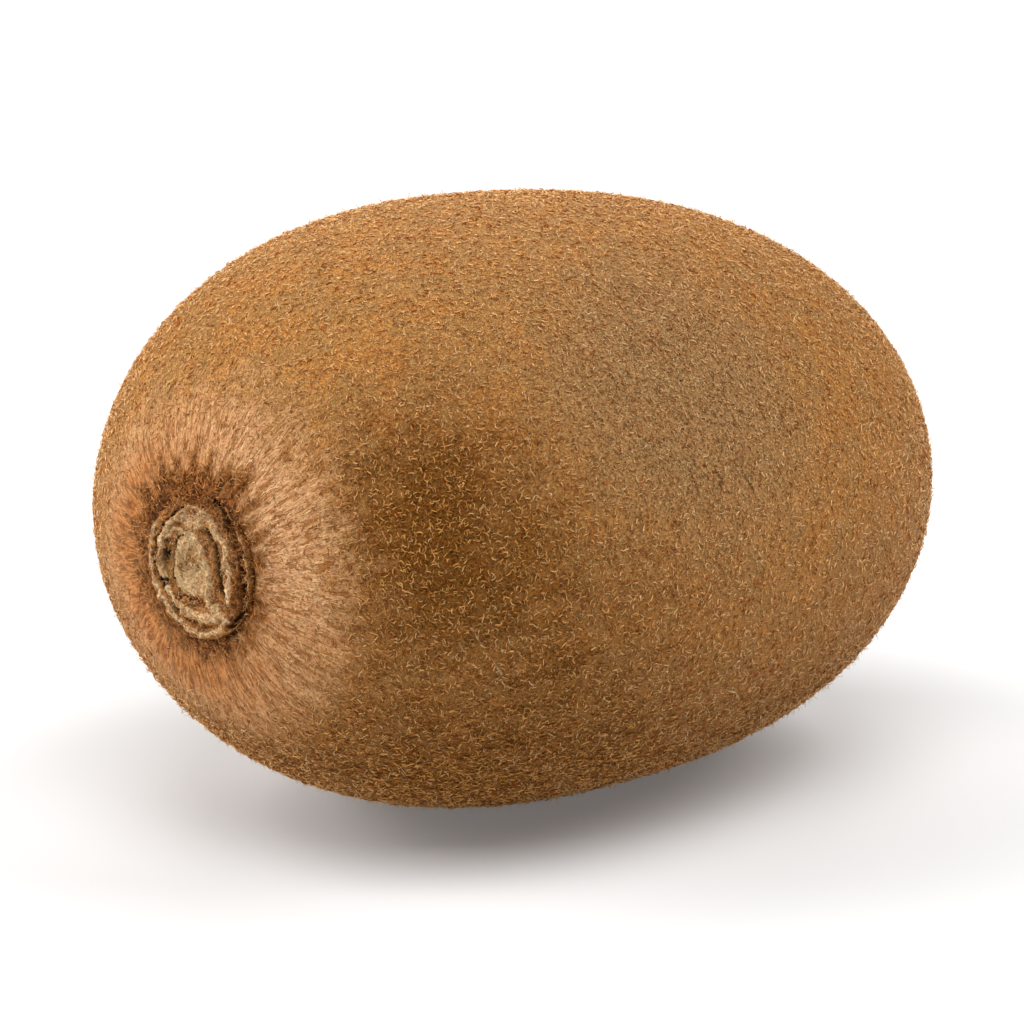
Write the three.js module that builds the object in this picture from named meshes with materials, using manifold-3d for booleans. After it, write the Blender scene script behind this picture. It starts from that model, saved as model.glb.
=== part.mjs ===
// A whole kiwi fruit lying on its side, in millimetres, +Z up.
// The long axis runs along Y with the stem end towards -Y, and the underside rests on z = 0.
// The fruit grew as one piece, so it is one solid: a lumpy ovoid, a woody stem scar of
// nested rings in a shallow basin at one end, and a small beak with dried styles at the other.

import * as THREE from "three";
import { mergeVertices } from "three/addons/utils/BufferGeometryUtils.js";
import Module from "manifold-3d";

// Size of the smooth ovoid, before its lumps
const LENGTH = 68;
const WIDTH = 50.2;
const HEIGHT = 44.2;
const STEM_BLUNTNESS = 2.245; // superellipse exponents of the two ends, where 2 is an ellipse
const BLOSSOM_BLUNTNESS = 2.39;
const TAPER = 0.059; // how much fuller the stem half is
const ROUND_TIP_SHARE = 0.6; // inside this share of its radius, an end turns from oval to round

// How it lies
const AXIS_RISE = THREE.MathUtils.degToRad(2.45); // the fuller stem end lifts the long axis
const REST_DEPTH = 0.35; // how far its own weight flattens the underside

// Gentle swellings and hollows: where each is, in degrees from the stem end and round the
// fruit from +X over the top, how wide it spreads in radians, and its height
const LUMPS = [
  { fromStem: 63, around: 119, spread: 0.45, rise: 0.92 },
  { fromStem: 72, around: -63, spread: 0.45, rise: -0.92 },
  { fromStem: 44, around: -118, spread: 0.45, rise: -0.92 },
  { fromStem: 45, around: 155, spread: 0.4, rise: -0.28 },
];

// Rings round each end's axis. rise is out of the fruit, lobes and wobble make a ring uneven,
// and right and up shift its centre.
const STEM_RINGS = [
  { radius: 0, width: 6.6, rise: -1.1 }, // the basin that the scar sits in
  { radius: 5.05, width: 0.42, rise: -0.75, lobes: 5, wobble: 0.1 }, // crevice in the skin
  { radius: 4.5, width: 0.34, rise: 0.5, lobes: 7, wobble: 0.1 }, // thin outer lip
  { radius: 3.7, width: 0.42, rise: 1.0, lobes: 4, wobble: 0.22, right: -0.15, up: 0.3 }, // ridge
  { radius: 2.85, width: 0.42, rise: -0.55, lobes: 3, wobble: 0.12, up: 0.15 }, // moat
  { radius: 2.1, width: 0.4, rise: 0.45, lobes: 3, wobble: 0.25, up: 0.1 }, // rim of the plug
  { radius: 0, width: 1.7, rise: 0.35 }, // the plug of old stem tissue
];
const BLOSSOM_RINGS = [
  { radius: 0, width: 2.9, rise: 1.3 }, // beak
  { radius: 3.3, width: 0.6, rise: -0.35, lobes: 5, wobble: 0.2 },
  { radius: 1.9, width: 0.5, rise: 0.35, lobes: 6, wobble: 0.15 },
  { radius: 0, width: 1.1, rise: -0.5 },
];

// Dried styles on the beak
const STYLE_CIRCLES = [
  { count: 5, radius: 0.55, lean: 0.25, length: 1.5 },
  { count: 9, radius: 1.25, lean: 0.6, length: 1.7 },
  { count: 12, radius: 2.05, lean: 0.95, length: 1.6 },
];
const STYLE_THICKNESS = 0.66;
const STYLE_SIDES = 4;
const STYLE_ROOT = 0.8; // how deep each is rooted below the surface

// Mesh fineness
const SEGMENTS_AROUND = 72;
const STEM_RING_RADII = [
  0.4, 0.8, 1.2, 1.55, 1.85, 2.15, 2.45, 2.8, 3.15, 3.45, 3.75, 4.05, 4.3, 4.55, 4.8, 5.05,
  5.3, 5.6, 6.0, 6.6, 7.4, 8.5, 9.8, 11.3,
];
const BLOSSOM_RING_RADII = [0.5, 1.0, 1.5, 2.0, 2.5, 2.95, 3.35, 3.8, 4.5, 5.5, 7.0, 9.0, 11.3];
const MIDDLE_RINGS = 24;

const SEED = 20;

const meanRadius = (WIDTH + HEIGHT) / 4;

/** A repeatable stream of numbers from 0 to 1. */
function randomStream(seed) {
  let state = seed;
  return () => {
    state = (state * 1664525 + 1013904223) % 4294967296;
    return state / 4294967296;
  };
}

/** The polar angle from an end at which the ovoid has this radius. */
function angleAtRadius(radius, bluntness) {
  return Math.asin(Math.pow(radius / meanRadius, bluntness / 2));
}

/** The point of the smooth ovoid in a direction given from the stem end and round the axis. */
function ovoidPoint(fromStem, around) {
  const bluntness = fromStem < Math.PI / 2 ? STEM_BLUNTNESS : BLOSSOM_BLUNTNESS;
  const cosine = Math.cos(fromStem);
  const along = Math.sign(cosine) * Math.pow(Math.abs(cosine), 2 / bluntness);
  const across = Math.pow(Math.abs(Math.sin(fromStem)), 2 / bluntness);
  const oval = THREE.MathUtils.smoothstep(across / ROUND_TIP_SHARE, 0, 1);
  const swell = across * (1 + TAPER * along);
  return new THREE.Vector3(
    THREE.MathUtils.lerp(meanRadius, WIDTH / 2, oval) * swell * Math.cos(around),
    (-LENGTH / 2) * along,
    THREE.MathUtils.lerp(meanRadius, HEIGHT / 2, oval) * swell * Math.sin(around),
  );
}

/** The same point on the unit sphere, which gives the way out of the fruit there. */
function outward(point) {
  return new THREE.Vector3(
    point.x / (WIDTH / 2),
    point.y / (LENGTH / 2),
    point.z / (HEIGHT / 2),
  ).normalize();
}

function lumpDirection(lump) {
  const fromStem = THREE.MathUtils.degToRad(lump.fromStem);
  const around = THREE.MathUtils.degToRad(lump.around);
  return new THREE.Vector3(
    Math.sin(fromStem) * Math.cos(around),
    -Math.cos(fromStem),
    Math.sin(fromStem) * Math.sin(around),
  );
}

/** How far all the lumps together push the skin out, in a direction. */
function lumpRise(direction) {
  let rise = 0;
  for (const lump of LUMPS) {
    const apart = 1 - direction.dot(lumpDirection(lump));
    rise += lump.rise * Math.exp(-apart / lump.spread ** 2);
  }
  return rise;
}

/** How far an end's rings together stand out of the fruit, at a place across that end. */
function ringRise(rings, x, z) {
  let rise = 0;
  for (const ring of rings) {
    const fromCentreX = x - (ring.right ?? 0);
    const fromCentreZ = z - (ring.up ?? 0);
    const angle = Math.atan2(fromCentreZ, fromCentreX);
    const uneven = (ring.wobble ?? 0) * Math.sin((ring.lobes ?? 0) * angle + ring.radius);
    const off = Math.hypot(fromCentreX, fromCentreZ) - ring.radius - uneven;
    rise += ring.rise * Math.exp(-((off / ring.width) ** 2));
  }
  return rise;
}

/** The fruit's surface: the ovoid with its lumps, and the rings of both ends. */
function fruitPoint(fromStem, around) {
  const point = ovoidPoint(fromStem, around);
  const direction = outward(point);
  point.addScaledVector(direction, lumpRise(direction));
  if (fromStem < Math.PI / 2) point.y -= ringRise(STEM_RINGS, point.x, point.z);
  else point.y += ringRise(BLOSSOM_RINGS, point.x, point.z);
  return point;
}

/** The angles from the stem end at which the skin has a ring of vertices, poles included. */
function ringAngles() {
  const stem = STEM_RING_RADII.map((radius) => angleAtRadius(radius, STEM_BLUNTNESS));
  const blossom = BLOSSOM_RING_RADII.map(
    (radius) => Math.PI - angleAtRadius(radius, BLOSSOM_BLUNTNESS),
  ).reverse();
  const first = stem[stem.length - 1];
  const step = (blossom[0] - first) / (MIDDLE_RINGS + 1);
  const middle = Array.from({ length: MIDDLE_RINGS }, (_, i) => first + step * (i + 1));
  return [0, ...stem, ...middle, ...blossom, Math.PI];
}

/** Turns a unit ball round the long axis into the fruit's skin. */
function skinGeometry() {
  const profile = ringAngles().map(
    (angle) => new THREE.Vector2(Math.sin(angle), -Math.cos(angle)),
  );
  profile[0].x = 0;
  profile[profile.length - 1].x = 0;
  const skin = new THREE.LatheGeometry(profile, SEGMENTS_AROUND);
  const place = skin.getAttribute("position");
  const direction = new THREE.Vector3();
  for (let i = 0; i < place.count; i++) {
    direction.fromBufferAttribute(place, i);
    const fromStem = Math.acos(THREE.MathUtils.clamp(-direction.y, -1, 1));
    const point = fruitPoint(fromStem, Math.atan2(direction.z, direction.x));
    place.setXYZ(i, point.x, point.y, point.z);
  }
  return skin.rotateX(-AXIS_RISE);
}

/** Presses the underside flat and returns the height of that flat. */
function restOnFlat(skin) {
  const place = skin.getAttribute("position");
  skin.computeBoundingBox();
  const floor = skin.boundingBox.min.z + REST_DEPTH;
  for (let i = 0; i < place.count; i++) place.setZ(i, Math.max(place.getZ(i), floor));
  return floor;
}

/** One dried style: a tapered spike rooted in the beak, leaning outwards. */
function styleGeometry(around, circle, random) {
  const length = circle.length * (0.75 + 0.5 * random()) + STYLE_ROOT;
  const spike = new THREE.CylinderGeometry(
    STYLE_THICKNESS * 0.3,
    STYLE_THICKNESS * 0.5,
    length,
    STYLE_SIDES,
  );
  const lean = circle.lean + 0.35 * (random() - 0.5);
  const x = circle.radius * Math.cos(around);
  const z = circle.radius * Math.sin(around);
  const fromStem = Math.PI - angleAtRadius(circle.radius, BLOSSOM_BLUNTNESS);
  return spike
    .translate(0, length / 2 - STYLE_ROOT, 0)
    .rotateZ(-lean)
    .rotateY(-around)
    .translate(x, fruitPoint(fromStem, around).y, z)
    .rotateX(-AXIS_RISE);
}

function styleGeometries() {
  const random = randomStream(SEED);
  const styles = [];
  for (const circle of STYLE_CIRCLES) {
    for (let i = 0; i < circle.count; i++) {
      const around = ((i + 0.6 * random()) / circle.count) * 2 * Math.PI;
      styles.push(styleGeometry(around, circle, random));
    }
  }
  return styles;
}

const wasm = await Module();
wasm.setup();

/** A closed geometry as a solid that can be joined to others. */
function solidOf(geometry) {
  const bare = geometry.index ? geometry.toNonIndexed() : geometry.clone();
  bare.deleteAttribute("normal");
  bare.deleteAttribute("uv");
  const merged = mergeVertices(bare, 1e-4);
  return new wasm.Manifold(
    new wasm.Mesh({
      numProp: 3,
      vertProperties: merged.getAttribute("position").array,
      triVerts: new Uint32Array(merged.index.array),
    }),
  );
}

function geometryOf(solid) {
  const mesh = solid.getMesh();
  const geometry = new THREE.BufferGeometry();
  geometry.setAttribute("position", new THREE.BufferAttribute(mesh.vertProperties, 3));
  geometry.setIndex(new THREE.BufferAttribute(mesh.triVerts, 1));
  geometry.computeVertexNormals();
  return geometry;
}

function kiwiGeometry() {
  const skin = skinGeometry();
  const floor = restOnFlat(skin);
  let solid = solidOf(skin);
  for (const style of styleGeometries()) solid = solid.add(solidOf(style));
  const fruit = geometryOf(solid);
  fruit.computeBoundingBox();
  const middle = fruit.boundingBox.getCenter(new THREE.Vector3());
  return fruit.translate(-middle.x, -middle.y, -floor);
}

const skinMaterial = new THREE.MeshStandardMaterial({
  color: new THREE.Color().setRGB(0.6, 0.43, 0.25, THREE.SRGBColorSpace),
  roughness: 0.85,
  metalness: 0,
});

const kiwi = new THREE.Mesh(kiwiGeometry(), skinMaterial);
kiwi.name = "kiwi_fruit";

const part = new THREE.Group();
part.add(kiwi);

export default part;
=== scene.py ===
"""A kiwi fruit lying on its side: olive-brown skin under a coat of short curly hairs,
a ringed woody scar where the stem was, and dried styles at the blossom end.

Lengths are in millimetres and become metres where a mesh is made.
"""

from math import cos, pi, radians, sin

import bmesh
import bpy
import numpy as np
from mathutils import Matrix, Vector, noise


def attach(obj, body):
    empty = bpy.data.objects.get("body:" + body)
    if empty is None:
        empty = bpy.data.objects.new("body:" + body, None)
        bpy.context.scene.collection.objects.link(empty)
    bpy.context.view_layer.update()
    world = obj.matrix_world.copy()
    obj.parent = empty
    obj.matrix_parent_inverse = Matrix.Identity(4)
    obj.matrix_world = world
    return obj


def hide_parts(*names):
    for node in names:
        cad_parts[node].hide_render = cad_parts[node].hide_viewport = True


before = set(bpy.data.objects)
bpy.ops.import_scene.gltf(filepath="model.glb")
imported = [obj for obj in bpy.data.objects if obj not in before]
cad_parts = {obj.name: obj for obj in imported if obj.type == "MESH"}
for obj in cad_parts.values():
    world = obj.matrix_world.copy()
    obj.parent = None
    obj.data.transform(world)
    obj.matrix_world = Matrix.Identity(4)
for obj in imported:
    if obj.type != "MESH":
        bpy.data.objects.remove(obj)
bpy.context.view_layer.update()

MM = 0.001
NOISE_SEED = 1
noise.seed_set(NOISE_SEED)  # without it, noise_vector differs from run to run

# -------- the fruit's own axes
AXIS_RISE = radians(2.45)  # the stem end lies this much higher than the blossom end
MIDDLE = Vector((0.02, -1.40, 21.25))  # where the fruit's widest section meets its axis
STEMWARD = Vector((0, -cos(AXIS_RISE), sin(AXIS_RISE)))
RIGHTWARD = Vector((1, 0, 0))  # seen from the stem end
UPWARD = Vector((0, sin(AXIS_RISE), cos(AXIS_RISE)))
STEM_POLE = 33.2  # the middle of the stem scar, measured from MIDDLE

# -------- camera
CAMERA_AROUND = radians(42.48)  # from straight in front of the stem end, towards +X
CAMERA_RISE = radians(14.73)
CAMERA_DISTANCE = 401.6
CAMERA_LENS = 192.74
AIM_RIGHT = -0.81  # from MIDDLE, across the view
AIM_UP = -0.99


def deselect():
    bpy.ops.object.select_all(action="DESELECT")


def in_mm(points):
    """Points of the row frame, in metres, as right, up and stemward of MIDDLE in millimetres."""
    offset = np.asarray(points) / MM - np.array(MIDDLE)
    return offset @ np.array([RIGHTWARD, UPWARD, STEMWARD]).T


def in_frame(places):
    """The reverse of in_mm."""
    return (np.asarray(places) @ np.array([RIGHTWARD, UPWARD, STEMWARD]) + np.array(MIDDLE)) * MM


def unit(vectors):
    return vectors / np.maximum(np.linalg.norm(vectors, axis=-1, keepdims=True), 1e-12)


def ease(values, start, end):
    """0 before start, 1 after end, and smooth between."""
    t = np.clip((values - start) / (end - start), 0, 1)
    return t * t * (3 - 2 * t)


def vertex_places(mesh):
    places = np.empty(len(mesh.vertices) * 3)
    mesh.vertices.foreach_get("co", places)
    return places.reshape(-1, 3)


def set_vertex_places(mesh, places):
    mesh.vertices.foreach_set("co", np.asarray(places).ravel())
    mesh.update()


# -------- shader nodes
class Num:
    """A number in a shader. Arithmetic on it adds Math nodes."""

    def __init__(self, finish, socket):
        self.finish = finish
        self.socket = socket

    def math(self, operation, *values, clamp=False):
        settings = {"operation": operation, "use_clamp": clamp}
        node = self.finish.node("ShaderNodeMath", settings, dict(enumerate(values)))
        return Num(self.finish, node.outputs[0])

    def __add__(self, other):
        return self.math("ADD", self, other)

    def __sub__(self, other):
        return self.math("SUBTRACT", self, other)

    def __mul__(self, other):
        return self.math("MULTIPLY", self, other)

    def __rsub__(self, other):
        return self.math("SUBTRACT", other, self)

    __radd__ = __add__
    __rmul__ = __mul__

    def size(self):
        return self.math("ABSOLUTE", self)

    def clamped(self):
        """The number held between 0 and 1."""
        return self.math("ADD", self, 0.0, clamp=True)

    def eased(self, start, end):
        """0 before start, 1 after end, and smooth between."""
        settings = {"interpolation_type": "SMOOTHSTEP"}
        values = {0: self, 1: start, 2: end, 3: 0.0, 4: 1.0}
        return Num(self.finish, self.finish.node("ShaderNodeMapRange", settings, values).outputs[0])


class Finish:
    """A material built from nodes."""

    def __init__(self, name, roughness, specular):
        self.material = bpy.data.materials.new(name)
        self.material.use_nodes = True
        self.tree = self.material.node_tree
        self.shader = self.tree.nodes["Principled BSDF"]
        self.shader.inputs["Roughness"].default_value = roughness
        self.shader.inputs["Specular IOR Level"].default_value = specular

    def connect(self, value, socket):
        if isinstance(value, Num):
            value = value.socket
        if isinstance(value, bpy.types.NodeSocket):
            self.tree.links.new(value, socket)
        elif isinstance(value, tuple) and socket.type == "RGBA":
            socket.default_value = (*value, 1)
        else:
            socket.default_value = value

    def node(self, kind, settings=None, values=None):
        """Adds a node, sets it up, and then fills or links its sockets."""
        node = self.tree.nodes.new(kind)
        for name, setting in (settings or {}).items():
            setattr(node, name, setting)
        for name, value in (values or {}).items():
            self.connect(value, node.inputs[name])
        return node

    def number(self, kind, settings=None, values=None, output=0):
        return Num(self, self.node(kind, settings, values).outputs[output])

    def attributes(self, *names):
        """The numbers that a piece carries on its points under these names."""
        numbers = []
        for name in names:
            settings = {"attribute_type": "GEOMETRY", "attribute_name": name}
            numbers.append(self.number("ShaderNodeAttribute", settings, output="Fac"))
        return numbers

    def place(self, stretch=(1, 1, 1)):
        """Object coordinates, in millimetres, with stretch more than 1 drawing a pattern finer."""
        coordinates = self.node("ShaderNodeTexCoord").outputs["Object"]
        scale = tuple(s / MM for s in stretch)
        mapping = self.node("ShaderNodeMapping", None, {"Vector": coordinates, "Scale": scale})
        return mapping.outputs[0]

    def noise(self, place, size, detail=3.0, roughness=0.55, distortion=0.0):
        """Soft noise from 0 to 1 with features about size millimetres across."""
        values = {
            "Vector": place,
            "Scale": 1 / size,
            "Detail": detail,
            "Roughness": roughness,
            "Distortion": distortion,
        }
        return self.number("ShaderNodeTexNoise", None, values)

    def mix(self, factor, under, over):
        """The colour over laid on the colour under, by factor."""
        values = {0: factor, 6: under, 7: over}
        return self.node("ShaderNodeMix", {"data_type": "RGBA"}, values).outputs[2]

    def vector(self, operation, first, second=None, scale=None, output=0):
        values = {0: first}
        if second is not None:
            values[1] = second
        if scale is not None:
            values["Scale"] = scale
        return self.node("ShaderNodeVectorMath", {"operation": operation}, values).outputs[output]

    def measure(self, operation, first, second=None):
        """The number that a vector operation such as LENGTH gives."""
        return Num(self, self.vector(operation, first, second, output="Value"))

    def curls(self, place, size, shift):
        """Short wandering lines about size millimetres apart, like curled hairs that lie flat."""
        moved = self.vector("ADD", place, (shift, 0.0, 0.0))
        wave = self.noise(moved, size, detail=1.0, distortion=1.4)
        cut = self.noise(moved, size * 0.8, detail=0.0)
        return (1 - (wave * 2 - 1).size().eased(0.02, 0.15)) * cut.eased(0.34, 0.46)

    def line(self, place, half_width, start, end):
        """1 on a short straight mark, falling to 0 beside and beyond it."""
        along = np.subtract(end, start)
        offset = self.vector("SUBTRACT", place, start)
        share = self.measure("DOT_PRODUCT", offset, tuple(along / (along @ along)))
        nearest = self.vector("SCALE", tuple(along), scale=share.clamped())
        gap = self.measure("LENGTH", self.vector("SUBTRACT", offset, nearest))
        return 1 - gap.eased(0.3 * half_width, 1.3 * half_width)

    def paint(self, colour):
        self.connect(colour, self.shader.inputs["Base Color"])

    def roughen(self, height, depth):
        """Fine relief from a height, where depth is in millimetres for a height of 1."""
        values = {"Height": height, "Distance": depth * MM, "Strength": 1.0}
        bump = self.node("ShaderNodeBump", None, values)
        self.connect(bump.outputs[0], self.shader.inputs["Normal"])

    def wear(self, piece):
        piece.data.materials.clear()
        piece.data.materials.append(self.material)


def from_srgb(red, green, blue):
    """A colour given as 0 to 255 on a screen, in the linear values that a shader takes."""
    values = np.array([red, green, blue]) / 255
    linear = np.where(values <= 0.04045, values / 12.92, ((values + 0.055) / 1.055) ** 2.4)
    return tuple(float(value) for value in linear)


def shades(*colours):
    """Two or more such colours that a finish runs between."""
    return tuple(from_srgb(*colour) for colour in colours)


# -------- looks over the skin, among them painted shade and a painted sheen
LOOKS = ("matted", "combed", "dusky_and_shaded", "sparse_and_sheen", "rusty")
# The dusky look is a darker coat on the shoulder, partly painted shade, and painted shade over the
# belly and the underside.
DUSKY_SHOULDER = (15.6, 5.2, 26.6)  # right, up and stemward of MIDDLE
SHADED_BELLY = (17.5, -10.0, 20.0)
# Middle of the sparse look: thinner hair over greyer skin, partly a painted sheen
SPARSE_SHEEN_FLANK = (20.9, 12.2, 6.3)
# How far from an end's middle each look starts to fade, and is gone
MATTED_FADE = (5.5, 7.5)
TIP_FADE = (3.8, 6.5)
COMBED_FADE = (9.0, 15.5)
RUSTY_FADE = (8.0, 13.0)
# Below the axis the skin darkens as painted shade.
SHADED_UNDERSIDE = (6.0, 17.0)  # how far below the axis the skin starts to darken, and is dark


def rough(at, size, seed=0):
    """Smooth noise from about -1 to 1, with features about size millimetres across."""
    shift = 31.7 * seed
    return np.array([noise.noise(Vector(place) + Vector((shift, 0, 0))) for place in at / size])


def near(at, spot, inner, outer):
    """1 within inner millimetres of a spot, 0 past outer, and smooth between."""
    return 1 - ease(np.linalg.norm(at - np.array(spot), axis=1), inner, outer)


def looks(at):
    """How strongly each look of the coat applies at places on the skin, from 0 to 1. The dusky look
    is painted shade over the belly and the underside, and partly painted shade on the shoulder; the
    sparse look is partly a painted sheen.
    """
    from_scar = np.linalg.norm(at - np.array([0, 0, STEM_POLE]), axis=1)
    ray = at[:, :2] / np.maximum(np.hypot(at[:, 0], at[:, 1]), 0.1)[:, None]
    spokes = rough(np.column_stack([7 * ray, 0.3 * from_scar]), 0.5, 5)
    above = 0.5 + 0.5 * ray[:, 1]
    ragged = from_scar + (1.0 + 1.8 * above) * spokes + 0.6 * rough(at, 0.7, 1) - 0.8 * above
    ragged += 1.5 * ray[:, 0].clip(0, 1) ** 3
    matted = 1 - ease(ragged, *MATTED_FADE)
    from_tip = np.hypot(at[:, 0], at[:, 1]) + 0.8 * rough(at, 0.9, 9)
    matted += 0.9 * (1 - ease(from_tip, *TIP_FADE)) * (at[:, 2] < 0)
    reach = from_scar + 2.0 * spokes + 0.8 * rough(at, 1.0, 8)
    combed = (1 - matted) * (1 - ease(reach, *COMBED_FADE))
    # dusky: darker coat on the shoulder, partly painted shade; painted shade over the belly and the
    # underside
    dusky_and_shaded = near(at, DUSKY_SHOULDER, 0.0, 13.0) + 0.5 * near(at, SHADED_BELLY, 4.0, 22.0)
    dusky_and_shaded += 0.5 * ease(-at[:, 1], *SHADED_UNDERSIDE)
    blotched = (0.25 * rough(at, 3.0, 2) + 0.5 * rough(at, 0.9, 7)) * ease(dusky_and_shaded, 0.0, 0.5)
    rustward = 0.6 - 0.6 * ray[:, 0] - 0.3 * ray[:, 1]
    return {
        "matted": matted,
        "combed": combed,
        "dusky_and_shaded": np.clip((dusky_and_shaded + blotched) * (1 - combed), 0, 1),
        "sparse_and_sheen": near(at, SPARSE_SHEEN_FLANK, 4.0, 17.0),
        "rusty": (1 - ease(from_scar + spokes, *RUSTY_FADE)) * np.clip(rustward, 0, 1),
    }


def add_attribute(mesh, name, values):
    layer = mesh.attributes.new(name, "FLOAT", "POINT")
    layer.data.foreach_set("value", np.asarray(values, np.float32))


# -------- skin
SAME_PLACE = 0.002  # the solid's corners closer than this are joined
STEM_SEAT = 4.9  # radius of the hollow in the skin that the stem scar fills
STEM_SEAT_DEPTH = 2.2
STEM_SEAT_SLOPE = 0.3  # half the width of the hollow's wall
PLAIN_RING = (6.3, 10.5)  # radii of the skin round the scar that the smooth dish follows
SMOOTHED_EDGE = (6.0, 7.2)  # radii between which that dish passes into the skin as it is
BLOSSOM_SEAT = 4.2
BLOSSOM_DISH = (0.85, 0.75, 0.6, 0.4)  # how much each ring of the dish shrinks


def copy_of_solid(name):
    """A copy of the fruit's solid, its loose triangles joined into one surface."""
    deselect()
    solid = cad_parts["kiwi_fruit"]
    piece = solid.copy()
    piece.data = solid.data.copy()
    piece.name = name
    piece.parent = None
    bpy.context.scene.collection.objects.link(piece)
    piece.select_set(True)
    bpy.context.view_layer.objects.active = piece
    bpy.ops.object.mode_set(mode="EDIT")
    bpy.ops.mesh.select_all(action="SELECT")
    bpy.ops.mesh.remove_doubles(threshold=SAME_PLACE * MM)
    bpy.ops.object.mode_set(mode="OBJECT")
    return piece


def select_vertices(piece, chosen):
    """Selects exactly these vertices, in edit mode."""
    mesh = piece.data
    mesh.edges.foreach_set("select", np.zeros(len(mesh.edges), bool))
    mesh.polygons.foreach_set("select", np.zeros(len(mesh.polygons), bool))
    mesh.vertices.foreach_set("select", chosen)
    bpy.ops.object.mode_set(mode="EDIT")
    bpy.ops.mesh.select_mode(type="VERT")


def put_in_order(piece):
    """Sorts edges and faces by their corners, which modelling operators leave in an order
    that changes from run to run, so that the hairs, drawn in face order, stay the same."""

    def order(element):
        lowest = sorted(vertex.index for vertex in element.verts)[:3]
        return sum(index * size**power for power, index in enumerate(reversed(lowest)))

    shape = bmesh.new()
    shape.from_mesh(piece.data)
    size = len(shape.verts)
    shape.edges.sort(key=order)
    shape.faces.sort(key=order)
    shape.to_mesh(piece.data)
    shape.free()
    ends = np.empty(len(piece.data.edges) * 2, int)
    piece.data.edges.foreach_get("vertices", ends)
    piece.data.edges.foreach_set("vertices", np.sort(ends.reshape(-1, 2), axis=1).ravel())


def close_blossom_seat(piece):
    """Takes the styles and the beak off the skin and closes the hole with a flat dish."""
    places = in_mm(vertex_places(piece.data))
    radius = np.hypot(places[:, 0], places[:, 1])
    select_vertices(piece, (radius < BLOSSOM_SEAT) & (places[:, 2] < 0))
    bpy.ops.mesh.delete(type="VERT")
    bpy.ops.mesh.select_all(action="DESELECT")
    bpy.ops.mesh.select_non_manifold(extend=False)
    centre = tuple(Vector(in_frame([0, 0, -BLOSSOM_BASE])))
    for shrink in BLOSSOM_DISH:
        bpy.ops.mesh.extrude_region_move()
        bpy.ops.transform.resize(value=(shrink, 1, shrink), center_override=centre)
    bpy.ops.mesh.merge(type="CENTER")
    bpy.ops.object.mode_set(mode="OBJECT")
    put_in_order(piece)


def press_stem_seat(piece):
    """Presses a hollow for the stem scar, in skin that curves smoothly up to its edge."""
    places = in_mm(vertex_places(piece.data))
    radius = np.hypot(places[:, 0], places[:, 1])
    terms = np.column_stack([np.ones(len(places)), places[:, :2], places[:, :2] ** 2])
    stem_end = places[:, 2] > 0
    around = stem_end & (radius > PLAIN_RING[0]) & (radius < PLAIN_RING[1])
    dish = terms @ np.linalg.lstsq(terms[around], places[around, 2], rcond=None)[0]
    smoothed = stem_end * (1 - ease(radius, *SMOOTHED_EDGE))
    places[:, 2] += smoothed * (dish - places[:, 2])
    wall = (STEM_SEAT - STEM_SEAT_SLOPE, STEM_SEAT + STEM_SEAT_SLOPE)
    pressed = stem_end * (1 - ease(radius, *wall))
    places[:, 2] -= STEM_SEAT_DEPTH * pressed
    set_vertex_places(piece.data, in_frame(places))


def make_finer(piece, levels):
    smooth = piece.modifiers.new("finer", "SUBSURF")
    smooth.levels = levels
    smooth.render_levels = levels
    bpy.ops.object.modifier_apply(modifier=smooth.name)


def make_skin():
    piece = copy_of_solid("skin")
    close_blossom_seat(piece)
    press_stem_seat(piece)
    bpy.ops.object.mode_set(mode="EDIT")
    bpy.ops.mesh.select_all(action="SELECT")
    bpy.ops.mesh.tris_convert_to_quads(face_threshold=radians(50), shape_threshold=radians(60))
    bpy.ops.mesh.normals_make_consistent(inside=False)
    bpy.ops.object.mode_set(mode="OBJECT")
    make_finer(piece, 1)
    bpy.ops.object.shade_smooth()
    for name, values in looks(in_mm(vertex_places(piece.data))).items():
        add_attribute(piece.data, name, values)
    return piece


# -------- the two woody ends
class End:
    """One end of the fruit, with its own right, up and out as seen from there."""

    def __init__(self, right, up, out, base):
        self.axes = np.array([right, up, out])
        self.base = base

    def to_frame(self, places):
        middle = np.array(MIDDLE) + self.base * self.axes[2]
        return (places @ self.axes + middle) * MM


BLOSSOM_BASE = 33.8
STEM_END = End(RIGHTWARD, UPWARD, STEMWARD, STEM_POLE)
BLOSSOM_END = End(-RIGHTWARD, UPWARD, -STEMWARD, BLOSSOM_BASE)

SCAR_SEGMENTS = 84
# One row a ring, from the rim sunk in the skin to the middle: its half width and half
# height seen from the stem end, how far right and up its centre lies, and its rise.
SCAR_RINGS = [
    (5.22, 5.22, 0.0, 0.0, -2.2),
    (5.16, 5.16, 0.0, 0.0, -0.9),
    (5.10, 5.10, 0.0, 0.0, -0.3),
    (5.00, 5.00, 0.0, 0.0, -0.08),
    (4.75, 4.75, 0.0, 0.0, -0.05),
    (4.45, 4.45, 0.0, 0.0, -0.08),
    (4.15, 4.15, 0.0, 0.0, -0.1),
    (3.85, 3.85, -0.1, 0.0, -0.1),
    (3.55, 3.55, -0.2, 0.0, -0.1),
    (3.25, 3.25, -0.3, 0.0, -0.12),
    (2.95, 2.95, -0.4, 0.0, -0.13),
    (2.65, 2.70, -0.5, 0.0, -0.14),
    (2.35, 2.45, -0.6, 0.0, -0.15),
    (2.05, 2.20, -0.7, 0.0, -0.15),
    (1.75, 1.95, -0.8, 0.0, -0.15),
    (1.40, 1.60, -0.85, 0.0, -0.15),
    (1.05, 1.20, -0.9, 0.0, -0.15),
    (0.70, 0.80, -0.9, 0.0, -0.15),
    (0.35, 0.40, -0.9, 0.0, -0.15),
]
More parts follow.
